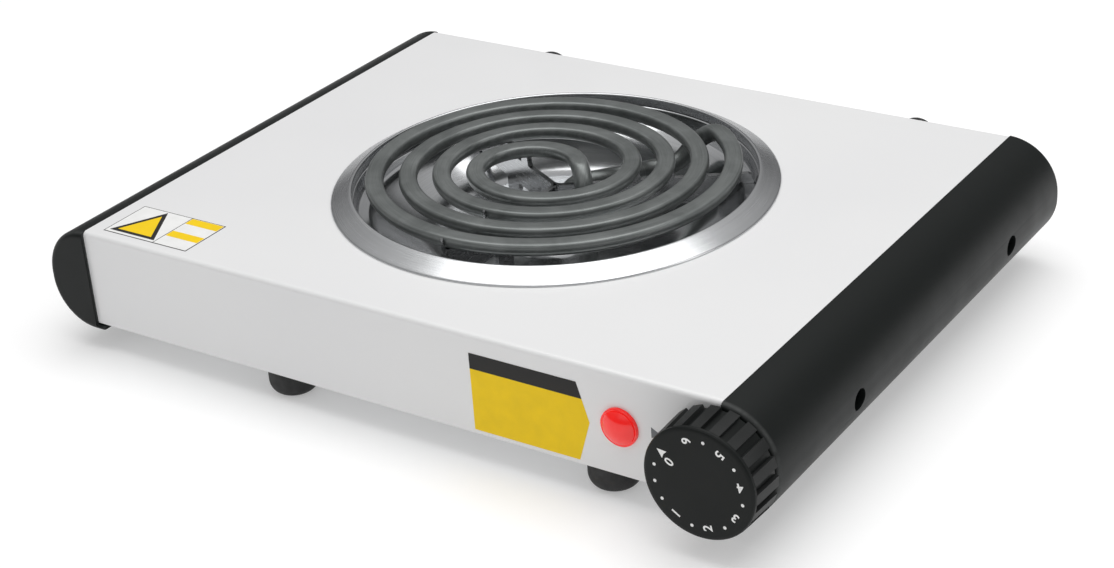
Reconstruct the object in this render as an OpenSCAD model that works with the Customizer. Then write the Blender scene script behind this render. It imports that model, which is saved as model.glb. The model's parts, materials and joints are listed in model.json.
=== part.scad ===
// Single-burner electric hot plate.
// Origin: centre of the bounding box, at the height of the surface it stands on.
// +X to the right seen from the front, +Y to the back, +Z up. Millimetres.

/* [Body] */
// Width of the folded steel shell, between the end caps
body_w = 292; // [285:1:320]
// Depth of the shell from front face to back face
body_d = 241; // [236:1:280]
// Height of the front and back faces
front_h = 41; // [40:1:46]
// Height of the worktop above the table
top_z = 53.5; // [52:0.5:60]
// Thickness of the shell's sheet steel
sheet_t = 1; // [0.8:0.1:1.2]
// Outer radius of the shell's folds
fold_r = 2; // [1.5:0.5:3]

/* [End caps] */
// How far an end cap bulges out past the shell
cap_bulge = 21.5; // [21:0.5:26]
// Height of an end cap
cap_h = 44; // [43:0.5:46]
// Wall of an end cap
cap_wall = 2.2; // [1.8:0.1:2.6]
// How far an end cap stands proud of the shell's front and back
cap_proud = 1.5; // [1:0.1:2]
// Distance of the front screw from the shell's front face
cap_screw_front = 59; // [50:1:70]
// Distance of the rear screw from the shell's front face
cap_screw_rear = 193; // [180:1:200]
// Depth of the screws below the worktop
cap_screw_drop = 24.5; // [22:0.5:26]

/* [Burner] */
// Sideways place of the burner from the middle of the shell
burner_x = 1; // [-2:0.5:3]
// Outer radius of the trim ring
ring_r = 91; // [90:0.5:94]
// Radius of the trim ring's crest
crest_r = 83; // [83:0.5:84]
// Height of the crest above the worktop
crest_h = 5; // [4:0.5:6]
// Radius of the coil's first half turn, to the tube's centre
coil_r = 72.6; // [72:0.1:73]
// Spacing of the coil's turns
coil_pitch = 13.6; // [13:0.1:13.8]
// Diameter of the coil's tube
tube_d = 7.6; // [7:0.1:8]
// Height of the tube's flattened top above its centre
tube_flat = 2.2; // [2:0.1:3]
// Height of the tube's centre above the worktop
coil_rise = 7.2; // [7:0.1:8]
// Directions of the support's three arms, in degrees from +X
arm_angles = [34, 151, 269];

/* [Control] */
// Knob's outer diameter
knob_d = 44; // [40:0.5:44]
// Distance of the knob's face from the shell's front face
knob_face = 18.5; // [16:0.5:22]
// Gap between the knob's back and the shell's front face
knob_gap = 2.6; // [2.2:0.1:4]
// Number of flutes around the knob
knob_flutes = 19; // [12:1:24]
// Sideways place of the knob's axis
knob_x = 146.5; // [146:0.5:147]
// Depth of the knob's axis below the worktop
knob_drop = 22; // [21:0.5:23]
// Diameter of the control shaft
shaft_d = 6; // [5:0.5:6]
// Running clearance between shaft and bush, on the radius
shaft_play = 0.05; // [0.02:0.01:0.09]

/* [Lamp] */
// Sideways place of the pilot lamp
lamp_x = 105; // [100:1:108]
// Depth of the lamp's centre below the worktop
lamp_drop = 21; // [19:0.5:23]
// Diameter of the lens
lens_d = 15; // [12:0.5:16]

/* [Feet] */
// Diameter of a foot
foot_d = 20; // [18:0.5:22]
// Sideways places of the feet
foot_xs = [-54, 94];
// Distance of a foot's centre from the shell's front or back face
foot_inset = 12; // [12:0.5:16]
// Diameter of a rear bumper
bumper_d = 17; // [15:0.5:18]
// How far a bumper stands out from the back face
bumper_h = 8; // [6:0.5:10]
// Sideways places of the rear bumpers
bumper_xs = [-81, 103.5];
// Depth of a bumper's centre below the worktop
bumper_drop = 9; // [8.5:0.5:11]

/* [Rear connections] */
// Sideways place of the cord inlet
inlet_x = 104; // [98:1:108]
// Height of the cord inlet
inlet_z = 26; // [25:0.5:27]
// Bore of the cord inlet
inlet_bore = 8; // [7:0.5:9]

/* [Hidden] */

$fn = 72;
// A hair of overlap for cuts, never a size
eps = 0.01;
front_y = -(body_d + bumper_h - knob_face) / 2;
back_y = front_y + body_d;
side_x = body_w / 2;
base_z = top_z - front_h;
plate_t = 1;
flange_w = 15;
burner = [burner_x, (front_y + back_y) / 2];
pan_t = 0.8;
pan_hole_r = crest_r - 0.5;
coil_z = top_z + coil_rise;
tube_r = tube_d / 2;
coil_bottom = coil_z - tube_r;
// The spiral is drawn from half turns about two centres
seam_angle = 45;
coil_shift = 1.5;
outer_trim = -5;
inner_loop_r = 21;
level_run = 36.5;
leg_bend_r = 9;
outer_bend_r = 8;
level_r = 12;
slant_run = 4;
dive_r = 13;
dive_tilt = 45;
leg_end_z = 27;
strip_t = 1;
strip_gap = 0.1;
strip_bend_r = 4;
arm_len = 80.2;
arm_top = top_z - 0.5;
arm_foot_r = 38;
strip_bottom = 41.5;
ledge_z = top_z - 5;
pan_floor = top_z - 19.5;
pan_floor_r = 48;
knob_axis = [knob_x, top_z - knob_drop];
knob_back_y = front_y - knob_gap;
knob_face_y = front_y - knob_face;
bracket_y = front_y + sheet_t;
bracket_t = 1.2;
stat_y = bracket_y + bracket_t;
stat_depth = 20;
stat_back = stat_y + stat_depth;
pocket_depth = 8;
blade_pivot_z = knob_axis[1] + 7.5;
wire_d = 2.2;
lamp_leg = 1.5;
screw_xs = [-120, 20, 130];
cap_screw_ys = [front_y + cap_screw_front, front_y + cap_screw_rear];
cap_screw_z = top_z - cap_screw_drop;
web_x = 134;

function u(a) = [cos(a), sin(a)];
function spiral_origin() = burner + coil_shift * u(seam_angle + 90);
function arc_centre(k) = spiral_origin() - (k % 2) * coil_pitch / 2 * u(seam_angle);
function arc_radius(k) = coil_r - k * coil_pitch / 2;
function inner_centre() = spiral_origin() - (arc_radius(6) - inner_loop_r) * u(seam_angle);
// First turn that crosses direction a: the two sides of the seam take every other half turn
function first_turn(a) = ((a - seam_angle + 720) % 360) < 180 ? 1 : 0;
// Distance of turn k's tube from the burner's centre, in direction a
function turn_radius(k, a) = k < 7
    ? arc_radius(k) + (arc_centre(k) - burner) * u(a)
    : inner_loop_r + (inner_centre() - burner) * u(a);

// ---------- helpers ----------

// Cylinder along +Y from y0 to y1
module rod_y(d, y0, y1) {
    translate([0, y0, 0])
        rotate([-90, 0, 0])
            cylinder(d = d, h = y1 - y0);
}

// Cylinder along +X from x0 to x1
module rod_x(d, x0, x1) {
    translate([x0, 0, 0])
        rotate([0, 90, 0])
            cylinder(d = d, h = x1 - x0);
}

module hex_z(across, h) {
    cylinder(d = across / cos(30), h = h, $fn = 6);
}

module box(x0, x1, y0, y1, z0, z1) {
    translate([x0, y0, z0])
        cube([x1 - x0, y1 - y0, z1 - z0]);
}

// Extrudes a profile drawn in X and Z along Y, from y0 to y1
module along_y(y0, y1) {
    translate([0, y1, 0])
        rotate([90, 0, 0])
            linear_extrude(y1 - y0)
                children();
}

function unit(v) = v / norm(v);
function reversed(p) = [for (i = [len(p) - 1:-1:0]) p[i]];
// All of a list but its last point, which the next stretch begins with
function rest(p) = [for (i = [0:len(p) - 2]) p[i]];

// Tube through points p, nothing of it above top
module swept_tube(p, d, sides, top) {
    last = len(p) - 1;
    along = [for (i = [0:last]) unit(p[min(i + 1, last)] - p[max(i - 1, 0)])];
    // A side direction carried along the tube without twist
    aside = [for (i = 0, v = unit(cross(along[0], [0.31, 0.22, 0.93])); i <= last; i = i + 1,
        v = unit(v - (v * along[min(i, last)]) * along[min(i, last)])) v];
    points = [for (i = [0:last])
        for (j = [0:sides - 1])
            let (a = 360 * (j + 0.5) / sides,
                q = p[i] + d / 2 * (cos(a) * aside[i] + sin(a) * cross(aside[i], along[i])))
                [q[0], q[1], min(q[2], top)]];
    skin = [for (i = [0:last - 1])
        for (j = [0:sides - 1])
            let (a = i * sides + j, b = i * sides + (j + 1) % sides)
                [a, b, b + sides, a + sides]];
    start = [[for (j = [0:sides - 1]) sides - 1 - j]];
    end = [[for (j = [0:sides - 1]) last * sides + j]];
    polyhedron(points = points, faces = concat(skin, start, end));
}

module foot_places() {
    for (x = foot_xs)
        for (y = [front_y + foot_inset, back_y - foot_inset])
            translate([x, y, 0])
                children();
}

module bottom_screw_places() {
    for (x = screw_xs)
        for (y = [front_y + 7.5, back_y - 7.5])
            translate([x, y, 0])
                children();
}

// ---------- body ----------

// Outline of the folded shell in Y and Z, turned to X and Y
module shell_outline(inset) {
    r = max(fold_r - inset, 0.4);
    y0 = front_y + inset;
    y1 = back_y - inset;
    z1 = top_z - inset;
    translate([y0 + r, z1 - r])
        circle(r);
    translate([y1 - r, z1 - r])
        circle(r);
    translate([y0 + r, z1 - 2 * r])
        square([y1 - y0 - 2 * r, 2 * r]);
    translate([y0, base_z])
        square([y1 - y0, z1 - r - base_z]);
}

module body_shell() {
    color("white")
        difference() {
            rotate([90, 0, 90])
                translate([0, 0, -side_x])
                    linear_extrude(body_w)
                        difference() {
                            shell_outline(0);
                            difference() {
                                shell_outline(sheet_t);
                                translate([front_y, base_z])
                                    square([flange_w, sheet_t]);
                                translate([back_y - flange_w, base_z])
                                    square([flange_w, sheet_t]);
                            }
                            translate([front_y + flange_w, base_z - 1])
                                square([body_d - 2 * flange_w, 3]);
                        }
            translate([burner[0], burner[1], top_z - 3])
                cylinder(r = pan_hole_r, h = 6);
            translate([lamp_x, 0, top_z - lamp_drop])
                rod_y(12.2, front_y - 1, front_y + 3);
            translate([knob_x, 0, knob_axis[1]])
                rod_y(15, front_y - 1, front_y + sheet_t + eps);
            translate([inlet_x, 0, inlet_z])
                rod_y(14, back_y - 3, back_y + 1);
            for (x = bumper_xs)
                translate([x, 0, top_z - bumper_drop])
                    rod_y(6, back_y - 3, back_y + 1);
            translate([-side_x + 30, 0, inlet_z])
                rod_y(4.2, back_y - 3, back_y + 1);
            foot_places()
                translate([0, 0, base_z - 1])
                    cylinder(d = 4.6, h = 3);
            bottom_screw_places()
                translate([0, 0, base_z - 1])
                    cylinder(d = 4.2, h = 3);
        }
}

module bottom_plate() {
    slot_w = 4;
    slot_l = 34;
    color("silver")
        difference() {
            box(-side_x + 0.5, side_x - 0.5, front_y + 1.5, back_y - 1.5, base_z - plate_t, base_z);
            for (side = [-1, 1])
                for (i = [0:9])
                    translate([burner[0] + side * 52 - slot_l / 2, burner[1] - 40.5 + 9 * i, base_z - 3])
                        cube([slot_l, slot_w, 5]);
            foot_places()
                translate([0, 0, base_z - 3])
                    cylinder(d = 4.6, h = 5);
            bottom_screw_places()
                translate([0, 0, base_z - 3])
                    cylinder(d = 4.4, h = 5);
        }
}

module bottom_screws() {
    head_z = base_z - plate_t;
    color("silver")
        bottom_screw_places()
            difference() {
                union() {
                    translate([0, 0, head_z - 2])
                        cylinder(d = 7.5, h = 2);
                    translate([0, 0, head_z - 1])
                        cylinder(d = 4, h = 7);
                }
                translate([-3, -0.5, head_z - 3])
                    cube([6, 1, 2]);
                translate([-0.5, -3, head_z - 3])
                    cube([1, 6, 2]);
            }
}

// ---------- end caps ----------

// D-shaped outline, X out from the joint and Y up, its top at y = 0
module cap_outline(inset) {
    upper_r = cap_h / 2;
    lower_r = upper_r - 2;
    intersection() {
        translate([cap_bulge - upper_r, -upper_r])
            circle(upper_r - inset);
        translate([0, -upper_r])
            square([60, 60]);
    }
    intersection() {
        translate([cap_bulge - lower_r, lower_r - cap_h])
            circle(lower_r - inset);
        translate([0, lower_r - cap_h - 60])
            square([60, 60]);
    }
    translate([0, lower_r - cap_h])
        square([cap_bulge - inset, cap_h - upper_r - lower_r]);
    translate([0, -cap_h + inset])
        square([cap_bulge - lower_r, 8]);
}

// Right end cap; the left one is its mirror image
module end_cap(shaft_notch) {
    y0 = front_y - cap_proud;
    y1 = back_y + cap_proud;
    tongue = 8;
    difference() {
        union() {
            difference() {
                translate([side_x, 0, top_z])
                    along_y(y0, y1)
                        cap_outline(0);
                translate([side_x, 0, top_z])
                    along_y(y0 + cap_wall, y1 - cap_wall)
                        difference() {
                            cap_outline(cap_wall);
                            translate([-1, -cap_wall])
                                square([60, cap_wall + 1]);
                        }
            }
            // Tongues that slide inside the shell
            box(side_x - tongue, side_x + 2, front_y + 60, back_y - 20, top_z - sheet_t - 1.7,
                top_z - sheet_t - 0.15);
            box(side_x - tongue, side_x + 2, back_y - sheet_t - 1.7, back_y - sheet_t - 0.15,
                base_z + 4, top_z - 6);
            box(side_x, side_x + 2, back_y - sheet_t - 1.7, back_y, base_z + 4, top_z - 6);
            // Lip under the bottom plate
            box(side_x - 3, side_x + 3, y0 + 3, y1 - 3, top_z - cap_h, base_z - plate_t - 0.1);
            // Screw bosses, back to the bracket's web
            for (y = cap_screw_ys)
                translate([0, y, cap_screw_z])
                    rod_x(12, web_x + 1.05, side_x + cap_bulge - 1);
        }
        for (y = cap_screw_ys)
            translate([0, y, cap_screw_z]) {
                rod_x(4.5, web_x - 5, side_x + cap_bulge + 2);
                rod_x(8.4, side_x + 4, side_x + cap_bulge + 2);
            }
        if (shaft_notch)
            translate([knob_x, 0, knob_axis[1]])
                rod_y(15, y0 - 1, y0 + cap_wall + 1);
    }
}

module left_end_cap() {
    color([0.11, 0.13, 0.13])
        mirror([1, 0, 0])
            end_cap(false);
}

module right_end_cap() {
    color([0.11, 0.13, 0.13])
        end_cap(true);
}

module end_cap_screws() {
    head_x = side_x + 4;
    color("silver")
        for (side = [0, 1])
            mirror([side, 0, 0])
                for (y = cap_screw_ys)
                    translate([0, y, cap_screw_z])
                        difference() {
                            union() {
                                rod_x(7.5, head_x, head_x + 2.5);
                                rod_x(4, web_x - 4, head_x + 1);
                            }
                            translate([head_x + 1.5, -3, -0.5])
                                cube([3, 6, 1]);
                            translate([head_x + 1.5, -0.5, -3])
                                cube([3, 1, 6]);
                        }
}

// Steel channel inside the shell's end, tapped for the end cap's screws
module end_bracket() {
    y0 = front_y + 44;
    y1 = back_y - 3;
    z0 = base_z + 1.05;
    z1 = top_z - sheet_t;
    difference() {
        union() {
            box(web_x, web_x + 1, y0, y1, z0, z1);
            box(web_x - 12, web_x + 1, y0, y1 - 15, z0 - 1.05, z0 - 0.05);
            box(web_x, web_x + 1, y0, y1 - 15, z0 - 1.05, z0);
            box(web_x - 12, web_x + 1, y0, y1, z1 - 1, z1);
        }
        for (y = cap_screw_ys)
            translate([0, y, cap_screw_z])
                rod_x(4.1, web_x - 2, web_x + 3);
        for (i = [0:2])
            translate([0, y0 + 32 + 30 * i, cap_screw_z])
                rod_x(14, web_x - 2, web_x + 3);
    }
}

module left_end_bracket() {
    color("lightgray")
        mirror([1, 0, 0])
            end_bracket();
}

module right_end_bracket() {
    color("lightgray")
        end_bracket();
}

// ---------- burner ----------

module trim_ring() {
    t = 0.8;
    z0 = top_z;
    z1 = top_z + crest_h;
    skirt = crest_r - t;
    color("silver")
        translate([burner[0], burner[1], 0])
            rotate_extrude()
                polygon([
                    [ring_r, z0], [ring_r, z0 + 0.5], [ring_r - 0.6, z0 + t + 0.2],
                    [crest_r + 0.5, z1 - 0.15], [crest_r, z1], [skirt + 0.2, z1], [skirt, z1 - 0.2],
                    [skirt, z0 + pan_t + 0.05], [crest_r, z0 + pan_t + 0.05], [crest_r, z1 - 1.1],
                    [crest_r + 0.4, z1 - 1.1], [ring_r - 1.2, z0]
                ]);
}

// Height of the pan's inner surface at radius r, from the ledge to the floor
function bowl_z(r) = pan_floor
    + (ledge_z - pan_floor) * (1 - cos(90 * (r - pan_floor_r) / (75.5 - pan_floor_r)));

module drip_pan() {
    steps = 8;
    radii = [for (i = [0:steps]) 75.5 - i * (75.5 - pan_floor_r) / steps];
    inner = concat(
        [[88, top_z + pan_t], [82, top_z + pan_t], [81.4, top_z + 0.3], [80.7, ledge_z]],
        [for (r = radii) [r, bowl_z(r)]],
        [[26, pan_floor], [25, pan_floor + 1.5], [24.2, pan_floor + 1.5]]);
    outer = [[24.2, pan_floor - pan_t + 1], [25, pan_floor - pan_t], [pan_floor_r, pan_floor - pan_t]];
    outer_wall = [for (i = [steps:-1:0]) [radii[i] + pan_t / 2, bowl_z(radii[i]) - pan_t]];
    outer_top = [[81.4, ledge_z - pan_t], [82.1, top_z - 1.2], [82.1, top_z], [88, top_z]];
    color("silver")
        difference() {
            translate([burner[0], burner[1], 0])
                rotate_extrude()
                    polygon(concat(inner, outer, outer_wall, outer_top));
            for (a = arm_angles)
                translate([burner[0], burner[1], pan_floor - 3])
                    rotate(a)
                        translate([arm_foot_r - 3, -1.3, 0])
                            cube([6, 2.6, 6]);
        }
}

// Clips from the worktop's underside to the pan's wall
module pan_clips() {
    color("silver")
        for (a = [92, 212, 332])
            translate([burner[0], burner[1], 0])
                rotate(a) {
                    box(82.6, 96, -6, 6, top_z - sheet_t - 1, top_z - sheet_t);
                    box(82.6, 83.6, -6, 6, top_z - 9, top_z - sheet_t);
                }
}

// Points of a bend of radius r in a plane, as [along, aside], turning by sweep in steps of step
function bend(r, sweep, step) = [for (t = [0:step:sweep]) [r * sin(t), r * (1 - cos(t))]];

// Outer end, from the spiral's first point: a tilted bend inward and down, a slanted run, a bend
// level, a level run, a bend down and the leg. [along the tube's end, in to the middle, up]
function outer_leg() =
    let (z_drop = (dive_r + slant_run) * sin(dive_tilt) + level_r * (1 - cos(dive_tilt)),
        in_run = (dive_r + slant_run) * cos(dive_tilt) + level_r * sin(dive_tilt))
        concat(
            [for (q = bend(dive_r, 90, 10)) [q[0], q[1] * cos(dive_tilt), -q[1] * sin(dive_tilt)]],
            [for (q = bend(level_r, dive_tilt, 9))
                [dive_r,
                    in_run - level_r * sin(dive_tilt) + q[0] * cos(dive_tilt) + q[1] * sin(dive_tilt),
                    level_r * (1 - cos(dive_tilt)) - z_drop - q[0] * sin(dive_tilt) + q[1] * cos(dive_tilt)]],
            [for (q = bend(outer_bend_r, 90, 10)) [dive_r, in_run + level_run + q[0], -z_drop - q[1]]],
            [[dive_r, in_run + level_run + outer_bend_r, leg_end_z - coil_z]]);

function inner_leg() = concat(
    [for (q = bend(leg_bend_r, 90, 10)) [q[0], 0, -q[1]]],
    [[leg_bend_r, 0, leg_end_z - coil_z]]);

// Moves points into place at start, their first axis along direction a
function placed(points, start, a) = [for (q = points)
    [start[0], start[1], coil_z] + [q[0] * cos(a) - q[1] * sin(a), q[0] * sin(a) + q[1] * cos(a), q[2]]];

function arc(centre, r, from, sweep) = [for (i = [0:24])
    concat(centre + r * u(from - i * sweep / 24), [coil_z])];

function outer_start() = arc_centre(0) + coil_r * u(seam_angle - outer_trim);
function inner_end() = inner_centre() + inner_loop_r * u(seam_angle);

function coil_path() = concat(
    rest(reversed(placed(outer_leg(), outer_start(), seam_angle - outer_trim + 90))),
    rest(arc(arc_centre(0), arc_radius(0), seam_angle - outer_trim, 180 - outer_trim)),
    [for (k = [1:6]) each rest(arc(arc_centre(k), arc_radius(k), seam_angle - 180 * k, 180))],
    rest(arc(inner_centre(), inner_loop_r, seam_angle + 180, 180)),
    placed(inner_leg(), inner_end(), seam_angle - 90));

module heating_coil() {
    color([0.36, 0.38, 0.38])
        swept_tube(coil_path(), tube_d, 12, coil_z + tube_flat);
}

// Side view of one arm, X out from the hub and Y up
module arm_profile(a, hooks) {
    saddle_z = coil_bottom - 0.05;
    polygon([
        [0, arm_top], [0, strip_bottom], [arm_foot_r - 5, strip_bottom],
        [arm_foot_r - 5, pan_floor + 0.05], [arm_foot_r - 2, pan_floor + 0.05],
        [arm_foot_r - 2, pan_floor - 2.6], [arm_foot_r + 2, pan_floor - 2.6],
        [arm_foot_r + 2, pan_floor + 0.05], [arm_foot_r + 5, pan_floor + 0.05],
        [arm_foot_r + 5, strip_bottom], [64, strip_bottom], [75, ledge_z + 1],
        [75.5, ledge_z + 0.05], [arm_len - 0.4, ledge_z + 0.05], [arm_len, ledge_z + 0.5],
        [arm_len, arm_top - 2.2], [arm_len - 0.7, arm_top - 0.7], [arm_len - 2.2, arm_top]
    ]);
    for (k = [first_turn(a):2:7])
        translate([turn_radius(k, a), 0])
            polygon([
                [-3.4, arm_top - 1], [-2.4, saddle_z], [2.4, saddle_z], [3.4, arm_top - 1]
            ]);
    if (hooks)
        for (k = [0, 4])
            translate([turn_radius(k, a), 0]) {
                polygon([
                    [3, arm_top - 1], [3.95, coil_z - 2], [3.95, coil_z + 1.4], [4.5, coil_z + 2.1],
                    [5, coil_z + 1.4], [5.3, arm_top - 1]
                ]);
                polygon([
                    [-5.2, arm_top - 1], [-4.9, coil_z - 0.2], [-4.4, coil_z + 0.3], [-3.95, coil_z - 0.4],
                    [-3.95, coil_z - 2], [-3, arm_top - 1]
                ]);
            }
}

// Plan of a strip bent to a V: out along side a, round the bend's facets, out along side b and back
function strip_side(a, b, across) =
    let (half = (b - a) / 2,
        mid = strip_gap / 2 + strip_t / 2 + strip_bend_r,
        hub = mid / sin(half) * u(a + half),
        r = strip_bend_r + across)
        concat(
            [(arm_len + 5) * u(a) + (mid - r) * u(a + 90)],
            [for (i = [0:6]) hub + r * u(a - 90 - i * (180 - b + a) / 6)],
            [(arm_len + 5) * u(b) - (mid - r) * u(b + 90)]);

// One strip, bent to a V between the arms at a and b
module support_strip(a, b, hooks) {
    low = pan_floor - 4;
    color("silver")
        translate([burner[0], burner[1], 0])
            intersection() {
                translate([0, 0, low])
                    linear_extrude(coil_z + tube_r - low)
                        polygon(concat(
                            strip_side(a, b, strip_t / 2),
                            reversed(strip_side(a, b, -strip_t / 2))));
                union() {
                    rotate(a)
                        rotate([90, 0, 0])
                            translate([0, 0, -3])
                                linear_extrude(4)
                                    arm_profile(a, hooks);
                    rotate(b)
                        rotate([90, 0, 0])
                            translate([0, 0, -1])
                                linear_extrude(4)
                                    arm_profile(b, false);
                    translate([0, 0, strip_bottom])
                        cylinder(r = 9, h = arm_top - strip_bottom);
                }
            }
}

module support_strip_1() {
    support_strip(arm_angles[0], arm_angles[1], false);
}

module support_strip_2() {
    support_strip(arm_angles[1], arm_angles[2], false);
}

module support_strip_3() {
    support_strip(arm_angles[2], arm_angles[0] + 360, true);
}

// Plan places of the coil's two legs
function inner_leg_xy() = inner_end() + leg_bend_r * u(seam_angle - 90);
function outer_leg_xy() = outer_start() + dive_r * u(seam_angle - outer_trim + 90)
    - ((dive_r + slant_run) * cos(dive_tilt) + level_r * sin(dive_tilt) + level_run + outer_bend_r)
    * u(seam_angle - outer_trim);

module leg_places() {
    for (p = [inner_leg_xy(), outer_leg_xy()])
        translate([p[0], p[1], 0])
            children();
}

module leg_plate() {
    color("lightgray")
        difference() {
            translate([burner[0], burner[1], pan_floor - pan_t - 1.1])
                cylinder(r = 33, h = 1);
            leg_places()
                translate([0, 0, pan_floor - 5])
                    cylinder(d = 10.4, h = 8);
        }
}

module leg_bushes() {
    plate_z = pan_floor - pan_t - 1.1;
    color("ivory")
        leg_places()
            difference() {
                union() {
                    translate([0, 0, plate_z - 3])
                        cylinder(d = 10.2, h = 5);
                    translate([0, 0, plate_z - 3])
                        cylinder(d = 12.5, h = 2.95);
                }
                translate([0, 0, plate_z - 5])
                    cylinder(d = tube_d + 0.3, h = 10);
            }
}

module terminal_pins() {
    color("gold")
        leg_places() {
            translate([0, 0, leg_end_z - 5])
                cylinder(d = 3, h = 5);
            translate([-3, -0.4, leg_end_z - 9])
                cube([6, 0.8, 5]);
        }
}

// Tray between the pan and the bottom plate, on four folded feet
module heat_shield() {
    z0 = base_z + 3;
    color("lightgray")
        difference() {
            translate([burner[0], burner[1], 0]) {
                translate([0, 0, z0])
                    cylinder(r = 80, h = 0.8);
                for (a = [45:90:315])
                    rotate(a) {
                        box(72, 72.8, -6, 6, base_z, z0 + 0.4);
                        box(72, 79, -6, 6, base_z, base_z + 0.8);
                    }
            }
            translate([burner[0], burner[1], z0 - 1])
                for (a = [15:30:345])
                    rotate(a)
                        translate([58, 0, 0])
                            cylinder(d = 8, h = 3);
        }
}

// ---------- control ----------

module knob() {
    r = knob_d / 2;
    rim = 1.6;
    hub_d = 12;
    color([0.13, 0.15, 0.15])
        translate([knob_x, 0, knob_axis[1]])
            difference() {
                union() {
                    difference() {
                        rotate([-90, 0, 0])
                            rotate_extrude()
                                polygon([
                                    [0, knob_face_y], [r - 1.4, knob_face_y], [r - 0.8, knob_face_y + 0.3],
                                    [r - 0.5, knob_face_y + 1], [r, knob_back_y], [r - 3.5, knob_back_y],
                                    [r - 3.9, knob_face_y + 3], [0, knob_face_y + 3]
                                ]);
                        for (i = [0:knob_flutes - 1])
                            rotate([0, (i + 0.5) * 360 / knob_flutes - 2.9, 0])
                                box(-1.6, 1.6, knob_face_y + rim, knob_back_y + 1, r - 1.4, r + 2);
                    }
                    rod_y(hub_d, knob_face_y + 1, knob_back_y - 1.5);
                }
                intersection() {
                    rod_y(shaft_d + 0.1, knob_face_y + 4, knob_back_y + 1);
                    box(-5, 5, knob_face_y + 3, knob_back_y + 2, -5, shaft_d / 2 - 0.85);
                }
            }
}

// Flat steel spring between the hub and the shaft's flat
module knob_spring() {
    color("silver")
        translate([knob_x, 0, knob_axis[1]])
            box(-1.5, 1.5, knob_face_y + 5, knob_back_y - 3, shaft_d / 2 - 1.29, shaft_d / 2 - 0.89);
}

module control_shaft() {
    color("silver")
        translate([knob_x, 0, knob_axis[1]]) {
            difference() {
                rod_y(shaft_d, knob_face_y + 4.5, stat_y + 5.8);
                box(-5, 5, knob_face_y, knob_back_y - 1, shaft_d / 2 - 1.3, 8);
            }
            rod_y(9, stat_y + 5.4, stat_y + 7);
        }
}

module thermostat_bush() {
    color("goldenrod")
        translate([knob_x, 0, knob_axis[1]])
            difference() {
                union() {
                    rod_y(8, front_y - 1.9, stat_y + 5);
                    rod_y(11, stat_y + eps, stat_y + 3);
                }
                rod_y(shaft_d + 2 * shaft_play, front_y - 5, stat_y + 9);
            }
}

module bush_nut() {
    color("silver")
        translate([knob_x, bracket_y, knob_axis[1]])
            rotate([90, 0, 0])
                difference() {
                    hex_z(11, 2.4);
                    translate([0, 0, -1])
                        cylinder(d = 8.1, h = 6);
                }
}

module thermostat_bracket() {
    color("lightgray")
        difference() {
            union() {
                box(115, 160, bracket_y, bracket_y + bracket_t, knob_axis[1] - 10, knob_axis[1] + 10);
                box(115, 130, bracket_y, bracket_y + bracket_t, knob_axis[1] - 14, knob_axis[1] + 14);
            }
            translate([knob_x, 0, knob_axis[1]])
                rod_y(8.1, bracket_y - 1, bracket_y + 3);
        }
}

// Ceramic block with a pocket for the bush and cam and a bore for the push pin
module thermostat_body() {
    color("ivory")
        translate([knob_x, 0, knob_axis[1]])
            difference() {
                box(-13, 13, stat_y + 0.02, stat_back, -9.6, 10);
                rod_y(12, stat_y - 1, stat_y + pocket_depth);
                rod_y(3.1, stat_y, stat_back + 1);
                for (x = [-9.5, 9.5])
                    translate([x, 0, -5.5])
                        rod_y(2.6, stat_back - 5, stat_back + 1);
            }
}

module push_pin() {
    color("ivory")
        translate([knob_x, 0, knob_axis[1]])
            rod_y(3, stat_y + 7.3, stat_back + 1.1);
}

// Spring blade that the pin pushes back, hinged at its riveted root
module contact_blade() {
    color("goldenrod")
        translate([knob_x, 0, 0]) {
            box(-3, 3, stat_back + 1.2, stat_back + 1.6, knob_axis[1] - 8, blade_pivot_z);
            translate([0, 0, knob_axis[1] - 6])
                rod_y(3, stat_back + 1.6, stat_back + 2.4);
        }
}

module fixed_contact() {
    color("goldenrod")
        translate([knob_x, 0, knob_axis[1]]) {
            box(-3, 3, stat_back + 4.5, stat_back + 5.2, -9.4, -3.5);
            translate([0, 0, -6])
                rod_y(3, stat_back + 3.5, stat_back + 4.6);
            box(-3, 3, stat_back, stat_back + 5.2, -9.4, -8.9);
        }
}

// Bimetal and the blade's root clamp, on the block's upper rear edge
module bimetal_strip() {
    color("darkkhaki")
        translate([knob_x, 0, 0]) {
            box(-3, 3, stat_back, stat_back + 2, blade_pivot_z + 0.3, knob_axis[1] + 10);
            box(4.2, 9, stat_back, stat_back + 0.9, knob_axis[1] - 3, knob_axis[1] + 10);
            box(-3, 9, stat_back, stat_back + 0.9, blade_pivot_z + 0.4, knob_axis[1] + 10);
        }
}

// Domed lens with a stem through the front face
module pilot_lens() {
    color("red")
        translate([lamp_x, 0, top_z - lamp_drop])
            difference() {
                union() {
                    rod_y(lens_d, front_y - 1.2, front_y);
                    intersection() {
                        translate([0, front_y + 7.6, 0])
                            sphere(r = 11.2);
                        rod_y(lens_d, front_y - 6, front_y - 1.1);
                    }
                    rod_y(10, front_y - 1, front_y + 5);
                }
                rod_y(8, front_y - 1.4, front_y + 6);
            }
}

module lamp_holder() {
    color("white")
        translate([lamp_x, 0, top_z - lamp_drop])
            difference() {
                rod_y(12, front_y + 0.05, front_y + 22);
                rod_y(10.1, front_y - 1, front_y + 5.1);
                rod_y(8, front_y + 4, front_y + 20);
                for (side = [-1, 1])
                    translate([side * lamp_leg, 0, 0])
                        rod_y(0.8, front_y + 19, front_y + 23);
            }
}

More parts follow.
